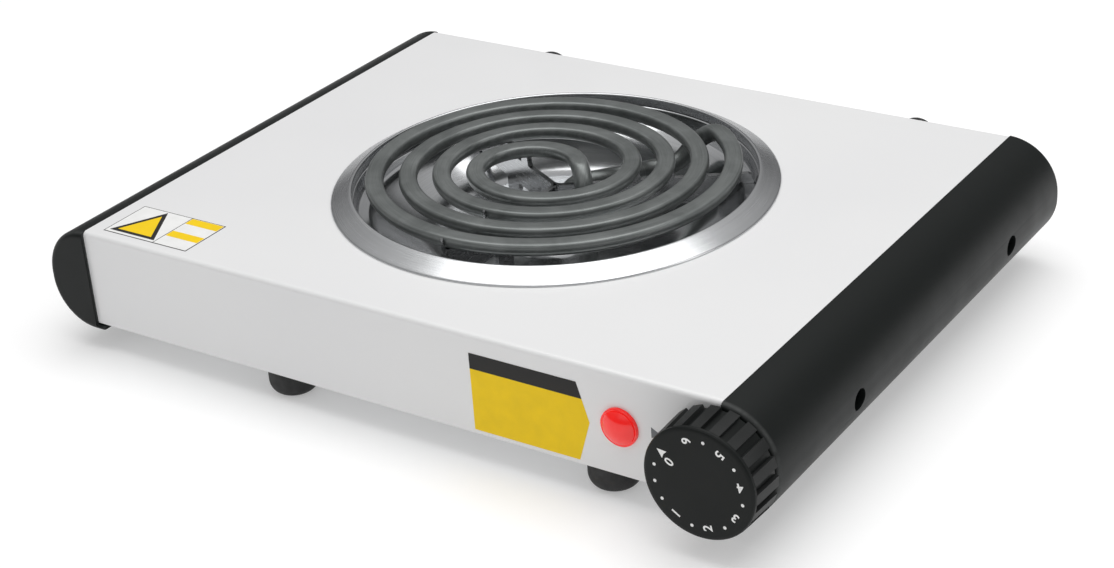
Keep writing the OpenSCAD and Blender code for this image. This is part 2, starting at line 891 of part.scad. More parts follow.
module lamp_bulb() {
    color("orange")
        translate([lamp_x, 0, top_z - lamp_drop]) {
            rod_y(5, front_y + 4, front_y + 16);
            translate([0, front_y + 4, 0])
                sphere(d = 5);
            for (side = [-1, 1])
                translate([side * lamp_leg, 0, 0])
                    rod_y(0.6, front_y + 15, front_y + 22.2);
        }
}

module lamp_retainer() {
    color("silver")
        translate([lamp_x, 0, top_z - lamp_drop])
            difference() {
                rod_y(18, front_y + sheet_t + 0.02, front_y + sheet_t + 0.6);
                rod_y(12.1, front_y, front_y + 4);
                for (a = [0:60:300])
                    rotate([0, a, 0])
                        box(-0.6, 0.6, front_y, front_y + 4, 5, 7.6);
            }
}

// ---------- connections ----------

block_x = 88;
block_y = back_y - 40;

module terminal_block() {
    color("ivory")
        translate([block_x, block_y, base_z])
            difference() {
                union() {
                    cube([34, 17, 9]);
                    for (i = [0:2])
                        translate([1.5 + 11 * i, 0, 0])
                            cube([9, 17, 15]);
                }
                for (i = [0:2])
                    translate([6 + 11 * i, 0, 0]) {
                        translate([0, -1, 6])
                            rotate([-90, 0, 0])
                                cylinder(d = 4, h = 19);
                        for (y = [4.5, 12.5])
                            translate([0, y, 6])
                                cylinder(d = 4.2, h = 12);
                    }
            }
}

module block_screws() {
    color("silver")
        translate([block_x, block_y, base_z])
            for (i = [0:2])
                for (y = [4.5, 12.5])
                    translate([6 + 11 * i, y, 8.5])
                        difference() {
                            cylinder(d = 4, h = 4.5);
                            translate([-3, -0.4, 3.6])
                                cube([6, 0.8, 2]);
                        }
}

module cord_grommet() {
    color([0.12, 0.12, 0.12])
        translate([inlet_x, 0, inlet_z])
            difference() {
                union() {
                    rod_y(18, back_y, back_y + 3);
                    rod_y(13.8, back_y - sheet_t - eps, back_y + 1);
                    rod_y(18, back_y - sheet_t - 3, back_y - sheet_t);
                }
                rod_y(inlet_bore, back_y - 10, back_y + 5);
            }
}

module earth_screw() {
    color("silver")
        translate([-side_x + 30, 0, inlet_z])
            difference() {
                union() {
                    rod_y(7.5, back_y + 0.01, back_y + 2.2);
                    rod_y(4, back_y - 10, back_y + 1);
                }
                box(-5, 5, back_y + 1.4, back_y + 3, -0.5, 0.5);
            }
}

module earth_nut() {
    color("gold")
        translate([-side_x + 30, back_y - sheet_t, inlet_z])
            rotate([90, 0, 0])
                difference() {
                    hex_z(7, 3);
                    translate([0, 0, -1])
                        cylinder(d = 4.1, h = 6);
                }
}

// ---------- feet ----------

// Rubber dome with a recess for its screw, flat where it stands
module foot() {
    r = foot_d / 2;
    stand_r = 5.5;
    dome_h = 5.5;
    top = base_z - plate_t;
    color([0.1, 0.1, 0.1])
        rotate_extrude()
            polygon(concat(
                [[2.2, top], [2.2, 4.5], [4.5, 4.5], [4.5, 0]],
                [for (t = [0:15:90]) [stand_r + (r - stand_r) * sin(t), dome_h * (1 - cos(t))]],
                [[r, top]]));
}

module foot_front_left() {
    translate([foot_xs[0], front_y + foot_inset, 0])
        foot();
}

module foot_front_right() {
    translate([foot_xs[1], front_y + foot_inset, 0])
        foot();
}

module foot_rear_left() {
    translate([foot_xs[0], back_y - foot_inset, 0])
        foot();
}

module foot_rear_right() {
    translate([foot_xs[1], back_y - foot_inset, 0])
        foot();
}

module foot_screws() {
    color("silver")
        foot_places()
            difference() {
                union() {
                    translate([0, 0, 2])
                        cylinder(d = 8, h = 2.5);
                    translate([0, 0, 3])
                        cylinder(d = 4, h = base_z + 2);
                }
                translate([-3, -0.5, 1])
                    cube([6, 1, 2]);
                translate([-0.5, -3, 1])
                    cube([1, 6, 2]);
            }
}

module foot_nuts() {
    color("silver")
        foot_places()
            translate([0, 0, base_z + sheet_t])
                difference() {
                    hex_z(7, 2.6);
                    translate([0, 0, -1])
                        cylinder(d = 4.1, h = 6);
                }
}

// Rubber dome on the back face with a stem through it
module bumper() {
    r = bumper_d / 2;
    color([0.1, 0.1, 0.1])
        intersection() {
            translate([0, back_y, 0])
                sphere(r = r);
            rod_y(bumper_d + 1, back_y, back_y + bumper_h);
        }
    color([0.1, 0.1, 0.1]) {
        rod_y(5.8, back_y - 4, back_y + 1);
        rod_y(8, back_y - sheet_t - 2.5, back_y - sheet_t - 0.02);
    }
}

module bumper_left() {
    translate([bumper_xs[0], 0, top_z - bumper_drop])
        bumper();
}

module bumper_right() {
    translate([bumper_xs[1], 0, top_z - bumper_drop])
        bumper();
}

// ---------- wires ----------

// Catmull-Rom points through the wire's few chosen points
function smooth_route(q, n = 4) = [
    for (i = [0:len(q) - 2])
        for (s = [0:n - 1])
            let (t = s / n,
                a = q[max(i - 1, 0)],
                b = q[i],
                c = q[i + 1],
                e = q[min(i + 2, len(q) - 1)])
                0.5 * (2 * b + (c - a) * t + (2 * a - 5 * b + 4 * c - e) * t * t
                    + (3 * b - a - 3 * c + e) * t * t * t),
    q[len(q) - 1]];

function block_in(i, back) = [block_x + 6 + 11 * i, block_y + (back ? 19 : -2), base_z + 6];

module wire_supply_to_thermostat() {
    color("brown")
        swept_tube(smooth_route([
            block_in(2, false), block_in(2, false) - [0, 8, 0], [118, 60, 24], [122, 20, 27], [124, -20, 28],
            [128, -60, 27], [133, -80, 26], [137, stat_back + 3, 26], [137, stat_back + 0.2, 26]
        ]), wire_d, 8, top_z);
}

module wire_thermostat_to_coil() {
    p = inner_leg_xy();
    color("white")
        swept_tube(smooth_route([
            [156, stat_back + 0.3, 26], [156, stat_back + 5, 26], [147, -81, 25], [133, -79, 24],
            [118, -66, 22], [94, -42, 22], [64, -24, 22], [p[0] + 10, p[1] - 4, 21],
            [p[0] + 3.8, p[1], 20.5]
        ]), wire_d, 8, top_z);
}

module wire_coil_to_block() {
    p = outer_leg_xy();
    color("white")
        swept_tube(smooth_route([
            [p[0] + 3.8, p[1], 20.5], [p[0] + 10, p[1] + 6, 21], [40, 44, 22], [70, 62, 22],
            [84, 72, 21], block_in(0, false) - [0, 6, 0], block_in(0, false)
        ]), wire_d, 8, top_z);
}

module wire_lamp_live() {
    y = front_y + 22.5;
    z = top_z - lamp_drop;
    color("black")
        swept_tube(smooth_route([
            [lamp_x + lamp_leg, y, z], [lamp_x + 3, y + 6, z], [112, -60, 36], [113, -20, 37],
            [112, 20, 36], [113, 50, 31], [117, block_y - 10, 25], [118, block_y - 4, 23.5],
            [118, block_y - 0.2, 23.5]
        ]), 1.6, 8, top_z);
}

module wire_lamp_neutral() {
    y = front_y + 22.5;
    z = top_z - lamp_drop;
    color("black")
        swept_tube(smooth_route([
            [lamp_x - lamp_leg, y, z], [lamp_x - 3, y + 6, z], [104, -60, 33], [103, -20, 33], [101, 20, 32],
            [98, 50, 28], block_in(1, false) - [0, 10, -2], block_in(1, false)
        ]), 1.6, 8, top_z);
}

module wire_earth() {
    color("green")
        swept_tube(smooth_route([
            block_in(1, true), block_in(1, true) + [-2, 4, 0.5], [90, 111, 20.5], [40, 110, 20],
            [0, 109, 20], [-50, 109, 20], [-96, 106, 22], [-side_x + 30, back_y - 18, 25],
            [-side_x + 30, back_y - 10.5, inlet_z]
        ]), wire_d, 8, top_z);
}

body_shell();
bottom_plate();
bottom_screws();
left_end_cap();
right_end_cap();
end_cap_screws();
left_end_bracket();
right_end_bracket();
trim_ring();
drip_pan();
pan_clips();
heating_coil();
support_strip_1();
support_strip_2();
support_strip_3();
leg_plate();
leg_bushes();
terminal_pins();
heat_shield();
knob();
knob_spring();
control_shaft();
thermostat_bush();
bush_nut();
thermostat_bracket();
thermostat_body();
push_pin();
contact_blade();
fixed_contact();
bimetal_strip();
pilot_lens();
lamp_holder();
lamp_bulb();
lamp_retainer();
terminal_block();
block_screws();
cord_grommet();
earth_screw();
earth_nut();
foot_front_left();
foot_front_right();
foot_rear_left();
foot_rear_right();
foot_screws();
foot_nuts();
bumper_left();
bumper_right();
wire_supply_to_thermostat();
wire_thermostat_to_coil();
wire_coil_to_block();
wire_lamp_live();
wire_lamp_neutral();
wire_earth();
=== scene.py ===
import bpy
import bmesh
import json
import math
from mathutils import Matrix, Vector


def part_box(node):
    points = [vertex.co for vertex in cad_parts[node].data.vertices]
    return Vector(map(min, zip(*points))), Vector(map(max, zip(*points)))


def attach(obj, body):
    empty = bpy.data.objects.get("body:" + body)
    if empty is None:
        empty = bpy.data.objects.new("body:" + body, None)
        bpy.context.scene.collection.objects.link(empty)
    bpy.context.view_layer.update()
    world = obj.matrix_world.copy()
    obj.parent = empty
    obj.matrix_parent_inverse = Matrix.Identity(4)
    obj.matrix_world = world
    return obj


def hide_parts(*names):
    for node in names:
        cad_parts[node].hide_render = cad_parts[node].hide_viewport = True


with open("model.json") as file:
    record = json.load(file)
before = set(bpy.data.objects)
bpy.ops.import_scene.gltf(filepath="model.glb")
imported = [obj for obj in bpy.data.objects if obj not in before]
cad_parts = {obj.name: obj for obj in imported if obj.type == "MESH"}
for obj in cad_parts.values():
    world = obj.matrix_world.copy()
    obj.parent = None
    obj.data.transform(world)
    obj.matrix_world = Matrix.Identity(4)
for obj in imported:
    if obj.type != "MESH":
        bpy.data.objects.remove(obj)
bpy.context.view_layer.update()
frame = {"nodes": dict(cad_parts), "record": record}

MM = 0.001


# ---------------------------------------------------------------- frame values

def centre(node):
    """Middle of a CAD node's box, in metres."""
    low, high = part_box(node)
    return [(low[i] + high[i]) / 2 for i in range(3)]


SHELL_LOW, SHELL_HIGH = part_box("body_shell")
RING_LOW, RING_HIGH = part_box("trim_ring")
COIL_LOW, COIL_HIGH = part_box("heating_coil")
KNOB_LOW, KNOB_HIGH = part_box("knob")
CAP_LOW, CAP_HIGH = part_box("right_end_cap")
LENS_LOW, LENS_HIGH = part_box("pilot_lens")
FRONT_Y = SHELL_LOW[1]
BACK_Y = SHELL_HIGH[1]
TOP_Z = SHELL_HIGH[2]
SIDE_X = SHELL_HIGH[0]
BURNER = (centre("trim_ring")[0], centre("trim_ring")[1])
RING_R = (RING_HIGH[0] - RING_LOW[0]) / 2
COIL_TOP = COIL_HIGH[2]
KNOB_AXIS = (centre("knob")[0], centre("knob")[2])
KNOB_R = (KNOB_HIGH[0] - KNOB_LOW[0]) / 2


# ---------------------------------------------------------------- nodes of a material

class Shader:
    """A material's node tree, with short calls for the nodes it is made of."""

    def __init__(self, name):
        self.mat = bpy.data.materials.new(name)
        self.mat.use_nodes = True
        self.tree = self.mat.node_tree
        self.tree.nodes.clear()
        self.out = self.tree.nodes.new("ShaderNodeOutputMaterial")
        self.bsdf = self.tree.nodes.new("ShaderNodeBsdfPrincipled")
        self.tree.links.new(self.bsdf.outputs[0], self.out.inputs[0])
        self.coords = self.tree.nodes.new("ShaderNodeTexCoord").outputs["Object"]

    def link(self, a, b):
        self.tree.links.new(a, b)

    def set(self, **values):
        for key, value in values.items():
            socket = self.bsdf.inputs[key.replace("_", " ")]
            socket.default_value = (*value, 1) if isinstance(value, tuple) else value

    def math(self, op, a, b=None):
        node = self.tree.nodes.new("ShaderNodeMath")
        node.operation = op
        for i, value in enumerate((a, b)):
            if value is None:
                continue
            if isinstance(value, (int, float)):
                node.inputs[i].default_value = value
            else:
                self.link(value, node.inputs[i])
        return node.outputs[0]

    def scaled(self, size, at=None):
        node = self.tree.nodes.new("ShaderNodeMapping")
        node.inputs["Scale"].default_value = size
        self.link(at or self.coords, node.inputs["Vector"])
        return node.outputs[0]

    def noise(self, scale, detail=4.0, rough=0.55, at=None, warp=0.0):
        node = self.tree.nodes.new("ShaderNodeTexNoise")
        node.inputs["Scale"].default_value = scale
        node.inputs["Detail"].default_value = detail
        node.inputs["Roughness"].default_value = rough
        node.inputs["Distortion"].default_value = warp
        self.link(at or self.coords, node.inputs["Vector"])
        return node.outputs[0]

    def ramp(self, value, stops):
        node = self.tree.nodes.new("ShaderNodeValToRGB")
        elements = node.color_ramp.elements
        while len(elements) < len(stops):
            elements.new(0.5)
        for element, (at, colour) in zip(elements, stops):
            element.position = at
            element.color = (*colour, 1) if isinstance(colour, tuple) else (colour, colour, colour, 1)
        self.link(value, node.inputs[0])
        return node.outputs[0]

    def span(self, value, low, high, a=0.3, b=0.7):
        """value from a to b becomes low to high."""
        node = self.tree.nodes.new("ShaderNodeMapRange")
        node.inputs["From Min"].default_value = a
        node.inputs["From Max"].default_value = b
        node.inputs["To Min"].default_value = low
        node.inputs["To Max"].default_value = high
        self.link(value, node.inputs[0])
        return node.outputs[0]

    def colour(self, value, dark, light, a=0.3, b=0.7):
        self.link(self.ramp(value, [(a, dark), (b, light)]), self.bsdf.inputs["Base Color"])

    def roughness(self, value, low, high, a=0.3, b=0.7):
        self.link(self.span(value, low, high, a, b), self.bsdf.inputs["Roughness"])

    def bump(self, height, strength, distance):
        node = self.tree.nodes.new("ShaderNodeBump")
        node.inputs["Strength"].default_value = strength
        node.inputs["Distance"].default_value = distance
        self.link(height, node.inputs["Height"])
        self.link(node.outputs[0], self.bsdf.inputs["Normal"])

    def rings_about(self, point, rings, turns=1.5):
        """Coordinates that run across and along fine circles about a vertical line through point."""
        split = self.tree.nodes.new("ShaderNodeSeparateXYZ")
        self.link(self.coords, split.inputs[0])
        x = self.math("SUBTRACT", split.outputs[0], point[0])
        y = self.math("SUBTRACT", split.outputs[1], point[1])
        radius = self.math("SQRT", self.math("ADD", self.math("MULTIPLY", x, x), self.math("MULTIPLY", y, y)))
        angle = self.math("ARCTAN2", y, x)
        join = self.tree.nodes.new("ShaderNodeCombineXYZ")
        self.link(self.math("MULTIPLY", radius, rings), join.inputs[0])
        self.link(self.math("MULTIPLY", self.math("SINE", angle), turns), join.inputs[1])
        self.link(self.math("MULTIPLY", self.math("COSINE", angle), turns), join.inputs[2])
        return join.outputs[0]


def speckled(name, dark, light, rough, metallic=0.0, scale=60, grain=900, bump=0.05, coat=0.0):
    """A plain surface with slow colour change, uneven roughness and a fine grain."""
    s = Shader(name)
    slow = s.noise(scale, 3)
    s.colour(slow, dark, light)
    s.roughness(s.noise(scale * 2.3, 4), rough[0], rough[1])
    s.set(Metallic=metallic, Coat_Weight=coat, Coat_Roughness=0.12)
    s.bump(s.noise(grain, 2), bump, 0.0002)
    return s


def brushed(name, dark, light, rough, stretch, bump=0.04):
    """Metal with fine lines along one direction: stretch scales the noise on each axis."""
    s = Shader(name)
    lines = s.noise(1.0, 3, 0.6, s.scaled(stretch))
    s.colour(lines, dark, light, 0.25, 0.75)
    s.roughness(lines, rough[0], rough[1])
    s.set(Metallic=1.0)
    s.bump(lines, bump, 0.0001)
    return s


def turned(name, dark, light, rough, rings, bump, waves):
    """Metal finished on a lathe: fine circles about the burner, with faint smudges."""
    s = Shader(name)
    lines = s.noise(1.0, 3, 0.6, s.rings_about(BURNER, rings))
    smudge = s.noise(28, 4, 0.6)
    s.colour(s.math("ADD", s.math("MULTIPLY", lines, 0.6), s.math("MULTIPLY", smudge, 0.4)), dark, light)
    s.roughness(s.math("ADD", s.math("MULTIPLY", lines, 0.5), s.math("MULTIPLY", smudge, 0.5)), rough[0], rough[1])
    s.set(Metallic=1.0)
    height = s.math("ADD", s.math("MULTIPLY", lines, 0.25), s.math("MULTIPLY", s.noise(22, 1), waves))
    s.bump(height, bump, 0.0006)
    return s


def enamel():
    s = Shader("enamel")
    s.colour(s.noise(7, 2), (0.775, 0.775, 0.78), (0.8, 0.8, 0.8))
    s.roughness(s.noise(35, 4), 0.3, 0.38)
    s.set(Coat_Weight=0.25, Coat_Roughness=0.12)
    s.bump(s.noise(700, 2), 0.03, 0.0002)
    return s


def phenolic(name="phenolic", light=(0.0068, 0.0084, 0.008)):
    s = Shader(name)
    s.colour(s.noise(25, 2), (0.004, 0.0052, 0.0048), light)
    s.roughness(s.noise(60, 3), 0.4, 0.47)
    s.set(Specular_IOR_Level=0.18)
    s.bump(s.noise(2600, 2), 0.05, 0.0001)
    return s


def cap_rim_highlight_and_wear():
    """Phenolic whose front rim is lighter: a painted highlight on the rounded rim, broken up by noise as rubbed wear.
    """
    s = phenolic("cap_phenolic")
    split = s.tree.nodes.new("ShaderNodeSeparateXYZ")
    s.link(s.coords, split.inputs[0])
    rim = CAP_LOW[1]
    rise = s.span(split.outputs[1], 0, 1, rim + 0.0001, rim + 0.0011)
    fall = s.span(split.outputs[1], 1, 0, rim + 0.0014, rim + 0.0029)
    # lighter band on the front rim: painted highlight of the rounded rim, with noise standing for real rubbed wear
    rim_highlight_and_rub = s.math("MULTIPLY", s.math("MULTIPLY", rise, fall), s.span(s.noise(240, 4), 0.35, 1.0))
    s.colour(rim_highlight_and_rub, (0.006, 0.0076, 0.0072), (0.05, 0.053, 0.052), 0.1, 1.0)
    return s


def sheath():
    """Oxidised coil sheath: dull grey, darker stains and faint drawing lines."""
    s = Shader("sheath")
    stain = s.noise(46, 5, 0.65, warp=0.6)
    lines = s.noise(1.0, 2, 0.5, s.rings_about(BURNER, 2600, 3.0))
    mix = s.math("ADD", s.math("MULTIPLY", stain, 0.62), s.math("MULTIPLY", lines, 0.38))
    s.colour(mix, (0.12, 0.131, 0.128), (0.23, 0.243, 0.239), 0.34, 0.66)
    s.roughness(mix, 0.3, 0.44)
    s.set(Metallic=0.65, Specular_IOR_Level=0.5)
    s.bump(mix, 0.06, 0.0003)
    return s


def lens_red():
    s = Shader("lens_red")
    s.colour(s.noise(90, 2), (0.86, 0.008, 0.008), (0.95, 0.018, 0.016))
    s.roughness(s.noise(200, 3), 0.12, 0.2)
    s.set(Coat_Weight=0.25, Coat_Roughness=0.08, Emission_Color=(1.0, 0.03, 0.02), Emission_Strength=0.18)
    s.set(Subsurface_Weight=0.15, Subsurface_Scale=0.003)
    s.bump(s.noise(60, 2), 0.04, 0.0003)
    return s


def printed(name, colour):
    """Ink or film on a label or a dial."""
    dark = tuple(c * 0.93 for c in colour)
    s = Shader(name)
    s.colour(s.noise(150, 3), dark, colour)
    s.roughness(s.noise(300, 3), 0.32, 0.45)
    s.set(Specular_IOR_Level=0.2)
    s.bump(s.noise(1500, 2), 0.03, 0.0001)
    return s


def floor_paint():
    s = Shader("floor_paint")
    s.colour(s.noise(3, 2), (0.7, 0.7, 0.7), (0.72, 0.72, 0.72))
    s.roughness(s.noise(9, 3), 0.75, 0.85)
    s.set(Emission_Color=(1.0, 1.0, 1.0), Emission_Strength=0.32)
    return s


MATERIALS = {
    "enamel": enamel(),
    "phenolic": phenolic(),
    # cap phenolic with a painted highlight, partly wear, on the front rim
    "cap_phenolic": cap_rim_highlight_and_wear(),
    # lighter phenolic for the outer faces of the knob's lands: painted highlight, the same plastic as the rest of the
    # knob
    "knob_land_highlight": phenolic("knob_land_highlight", (0.034, 0.035, 0.035)),
    "galvanised": speckled("galvanised", (0.42, 0.43, 0.44), (0.58, 0.59, 0.6), (0.32, 0.5), 0.9, 220, 1400),
    "zinc": speckled("zinc", (0.5, 0.5, 0.48), (0.66, 0.66, 0.64), (0.25, 0.4), 0.95, 300, 2200),
    "ring_steel": turned("ring_steel", (0.54, 0.55, 0.56), (0.68, 0.69, 0.7), (0.22, 0.3), 5200, 0.03, 0.02),
    "pan_steel": turned("pan_steel", (0.5, 0.51, 0.52), (0.66, 0.67, 0.68), (0.1, 0.18), 3600, 0.02, 0.1),
    "spring_steel": brushed("spring_steel", (0.42, 0.43, 0.44), (0.56, 0.57, 0.58), (0.25, 0.4), (900, 900, 90)),
    # darker base colour than the other steels: painted shade for the strips down in the bowl under the coil
    "strip_steel": brushed("strip_steel", (0.26, 0.265, 0.27), (0.38, 0.385, 0.39), (0.22, 0.3), (40, 40, 420),
                           0.006),
    "sheath": sheath(),
    "steatite": speckled("steatite", (0.74, 0.71, 0.64), (0.86, 0.84, 0.78), (0.55, 0.75), 0, 160, 2600, 0.15),
    "brass": speckled("brass", (0.6, 0.44, 0.18), (0.78, 0.6, 0.3), (0.25, 0.4), 1.0, 300, 2600),
    "bimetal": brushed("bimetal", (0.4, 0.36, 0.3), (0.56, 0.5, 0.42), (0.3, 0.45), (90, 90, 1500)),
    "lens_red": lens_red(),
    "holder": speckled("holder", (0.7, 0.7, 0.66), (0.8, 0.8, 0.77), (0.4, 0.55), 0, 140, 1800),
    "lamp_glass": speckled("lamp_glass", (0.8, 0.5, 0.34), (0.95, 0.7, 0.5), (0.05, 0.12), 0, 200, 1500, 0.02, 0.5),
    "rubber": speckled("rubber", (0.012, 0.012, 0.012), (0.024, 0.024, 0.024), (0.55, 0.75), 0, 120, 2600, 0.2),
    "wire_brown": speckled("wire_brown", (0.2, 0.09, 0.04), (0.3, 0.15, 0.08), (0.4, 0.55), 0, 300, 2000),
    "wire_white": speckled("wire_white", (0.68, 0.66, 0.6), (0.84, 0.82, 0.76), (0.6, 0.8), 0, 500, 3000, 0.4),
    "wire_black": speckled("wire_black", (0.02, 0.02, 0.02), (0.05, 0.05, 0.05), (0.4, 0.55), 0, 300, 2000),
    "wire_green": speckled("wire_green", (0.05, 0.3, 0.08), (0.1, 0.44, 0.14), (0.4, 0.55), 0, 300, 2000),
    "ink_white": printed("ink_white", (0.88, 0.88, 0.87)),
    "ink_yellow": printed("ink_yellow", (0.93, 0.63, 0.004)),
    "ink_black": printed("ink_black", (0.02, 0.019, 0.018)),
    "ink_grey": printed("ink_grey", (0.17, 0.18, 0.19)),
    "label_white": printed("label_white", (0.86, 0.86, 0.85)),
    "floor_paint": floor_paint(),
}

# What each of the record's material slots looks like
SLOT_LOOKS = {
    "white_enamel": "enamel",
    "galvanised_steel": "galvanised",
    "black_phenolic": "phenolic",
    "zinc_screw": "zinc",
    "polished_chrome": "ring_steel",
    "spring_steel": "spring_steel",
    "strip_steel": "strip_steel",
    "coil_sheath": "sheath",
    "white_ceramic": "steatite",
    "brass": "brass",
    "bimetal": "bimetal",
    "red_lens": "lens_red",
    "lamp_plastic": "holder",
    "lamp_glass": "lamp_glass",
    "black_rubber": "rubber",
    "brown_wire": "wire_brown",
    "white_wire": "wire_white",
    "black_wire": "wire_black",
    "green_wire": "wire_green",
}


# ---------------------------------------------------------------- mesh helpers

def piece(name, verts, faces, look, body="body", sharp=32, scale=1.0):
    """A mesh object in the row frame that rides on a body. scale is MM for points in millimetres."""
    mesh = bpy.data.meshes.new(name)
    mesh.from_pydata([tuple(c * scale for c in v) for v in verts], [], faces)
    mesh.validate()
    bm = bmesh.new()
    bm.from_mesh(mesh)
    bmesh.ops.remove_doubles(bm, verts=bm.verts, dist=1e-7)
    bmesh.ops.recalc_face_normals(bm, faces=bm.faces)
    bm.to_mesh(mesh)
    bm.free()
    smooth(mesh, sharp)
    obj = bpy.data.objects.new(name, mesh)
    bpy.context.scene.collection.objects.link(obj)
    mesh.materials.append(MATERIALS[look].mat)
    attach(obj, body)
    return obj


def smooth(mesh, angle):
    mesh.polygons.foreach_set("use_smooth", [True] * len(mesh.polygons))
    mesh.set_sharp_from_angle(angle=math.radians(angle))
    mesh.update()


def strips(rows, closed):
    """Faces between rows of equal length. closed joins each row's end to its start."""
    n = len(rows[0])
    faces = []
    for i in range(len(rows) - 1):
        for j in range(n if closed else n - 1):
            k = (j + 1) % n
            faces.append((i * n + j, i * n + k, (i + 1) * n + k, (i + 1) * n + j))
    return faces


def revolve(profile, at, axis="z", count=192, closed=True):
    """Points and faces of a (radius, height) profile turned about a line through at."""
    rows = []
    for r, h in profile:
        row = []
        for j in range(count):
            a = 2 * math.pi * j / count
            if axis == "z":
                row.append((at[0] + r * math.cos(a), at[1] + r * math.sin(a), h))
            else:
                row.append((at[0] + r * math.cos(a), h, at[2] + r * math.sin(a)))
        rows.append(row)
    faces = strips(rows, True)
    if closed:
        n = len(rows)
        last = (n - 1) * count
        faces += [(last + j, last + (j + 1) % count, (j + 1) % count, j) for j in range(count)]
    return [p for row in rows for p in row], faces


def arc_points(cx, cy, r, start, end, count):
    """Points of an arc about (cx, cy), its ends included. Angles in degrees."""
    turn = [math.radians(start + (end - start) * i / count) for i in range(count + 1)]
    return [(cx + r * math.cos(t), cy + r * math.sin(t)) for t in turn]


def cut(obj, cutters):
    """Cuts the cutter objects out of obj's mesh for good."""
    for cutter in cutters:
        modifier = obj.modifiers.new("cut", "BOOLEAN")
        modifier.operation = "DIFFERENCE"
        modifier.solver = "EXACT"
        modifier.object = cutter
    bpy.context.view_layer.update()
    graph = bpy.context.evaluated_depsgraph_get()
    mesh = bpy.data.meshes.new_from_object(obj.evaluated_get(graph))
    obj.modifiers.clear()
    obj.data = mesh
    smooth(mesh, 32)
    for cutter in cutters:
        bpy.data.objects.remove(cutter)


def rod(name, start, end, radius, count=48):
    """A plain cylinder object from start to end, used as a cutter."""
    bm = bmesh.new()
    axis = Vector(end) - Vector(start)
    place = Matrix.Translation((Vector(start) + Vector(end)) / 2) @ axis.to_track_quat("Z", "Y").to_matrix().to_4x4()
    bmesh.ops.create_cone(bm, cap_ends=True, segments=count, radius1=radius, radius2=radius,
                          depth=axis.length, matrix=place)
    mesh = bpy.data.meshes.new(name)
    bm.to_mesh(mesh)
    bm.free()
    obj = bpy.data.objects.new(name, mesh)
    bpy.context.scene.collection.objects.link(obj)
    return obj


# ---------------------------------------------------------------- end caps

def cap_outline(inset):
    """D-shaped outline in mm, X out from the shell's end and Z down from the worktop, with a lip under the shell."""
    upper = 22.0 - inset
    lower = 20.0 - inset
    start = math.degrees(math.asin(min(1.0, math.sqrt(upper ** 2 - 0.25) / upper)))
    points = arc_points(-0.5, -22, upper, start, 0, 26)
    points += arc_points(1.5, -24, lower, 0, -90, 24)
    low = -24 - lower
    if inset > 1.5:
        points += [(0.3, low), (0.2, low), (0.1, low), (0, low)]
    else:
        points += [(-2.8, low), (-3, low + 0.2), (-3, -42.15), (0, -42.15)]
    return points


def build_cap(side):
    rim = 2.5
    flat_margin = 0.4
    y0 = CAP_LOW[1] / MM
    y1 = CAP_HIGH[1] / MM
    levels = [(y0, rim + flat_margin)]
    for i in range(7):
        t = math.radians(15 * i)
        levels.append((y0 + rim * (1 - math.cos(t)), rim * (1 - math.sin(t))))
    levels += [(y0 + y1 - y, inset) for y, inset in reversed(levels)]
    rows = [[(side * (SIDE_X / MM + x), y, TOP_Z / MM + z) for x, z in cap_outline(inset)] for y, inset in levels]
    n = len(rows[0])
    faces = strips(rows, True)
    faces += [tuple(range(n)), tuple((len(rows) - 1) * n + j for j in range(n))]
    name = "cap_skin_right" if side > 0 else "cap_skin_left"
    obj = piece(name, [p for row in rows for p in row], faces, "cap_phenolic", scale=MM)
    cutters = []
    low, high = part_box("end_cap_screws")
    screw_r = (high[2] - low[2]) / 2
    z = (low[2] + high[2]) / 2
    for y in (low[1] + screw_r, high[1] - screw_r):
        cutters.append(rod("screw_recess", (side * (SIDE_X + 0.004), y, z), (side * (SIDE_X + 0.03), y, z), 0.0042))
    if side > 0:
        x, z = KNOB_AXIS
        cutters.append(rod("shaft_notch", (x, CAP_LOW[1] - 0.002, z), (x, CAP_LOW[1] + 0.006, z), 0.0075))
    cut(obj, cutters)
    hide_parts("right_end_cap" if side > 0 else "left_end_cap")
    return obj


# ---------------------------------------------------------------- burner

def build_ring():
    outer = RING_R / MM
    crest = outer - 8.2
    z0 = TOP_Z / MM
    z1 = RING_HIGH[2] / MM
    profile = [(outer - 1.2, z0 + 0.02), (outer - 0.15, z0 + 0.02), (outer, z0 + 0.15), (outer, z0 + 0.45),
               (outer - 0.15, z0 + 0.75), (outer - 0.7, z0 + 1.1)]
    profile += [(crest + 1.1, z1 - 0.42), (crest + 0.6, z1 - 0.14), (crest + 0.1, z1), (crest - 0.35, z1 - 0.04),
                (crest - 0.6, z1 - 0.3), (crest - 0.68, z1 - 0.9), (crest - 0.68, z0 + 1.1), (crest - 0.2, z0 + 1.1),
                (crest - 0.1, z1 - 1.2)]
    verts, faces = revolve(profile, (BURNER[0] / MM, BURNER[1] / MM), count=256)
    obj = piece("trim_ring_skin", verts, faces, "ring_steel", scale=MM, sharp=50)
    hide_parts("trim_ring")
    return obj


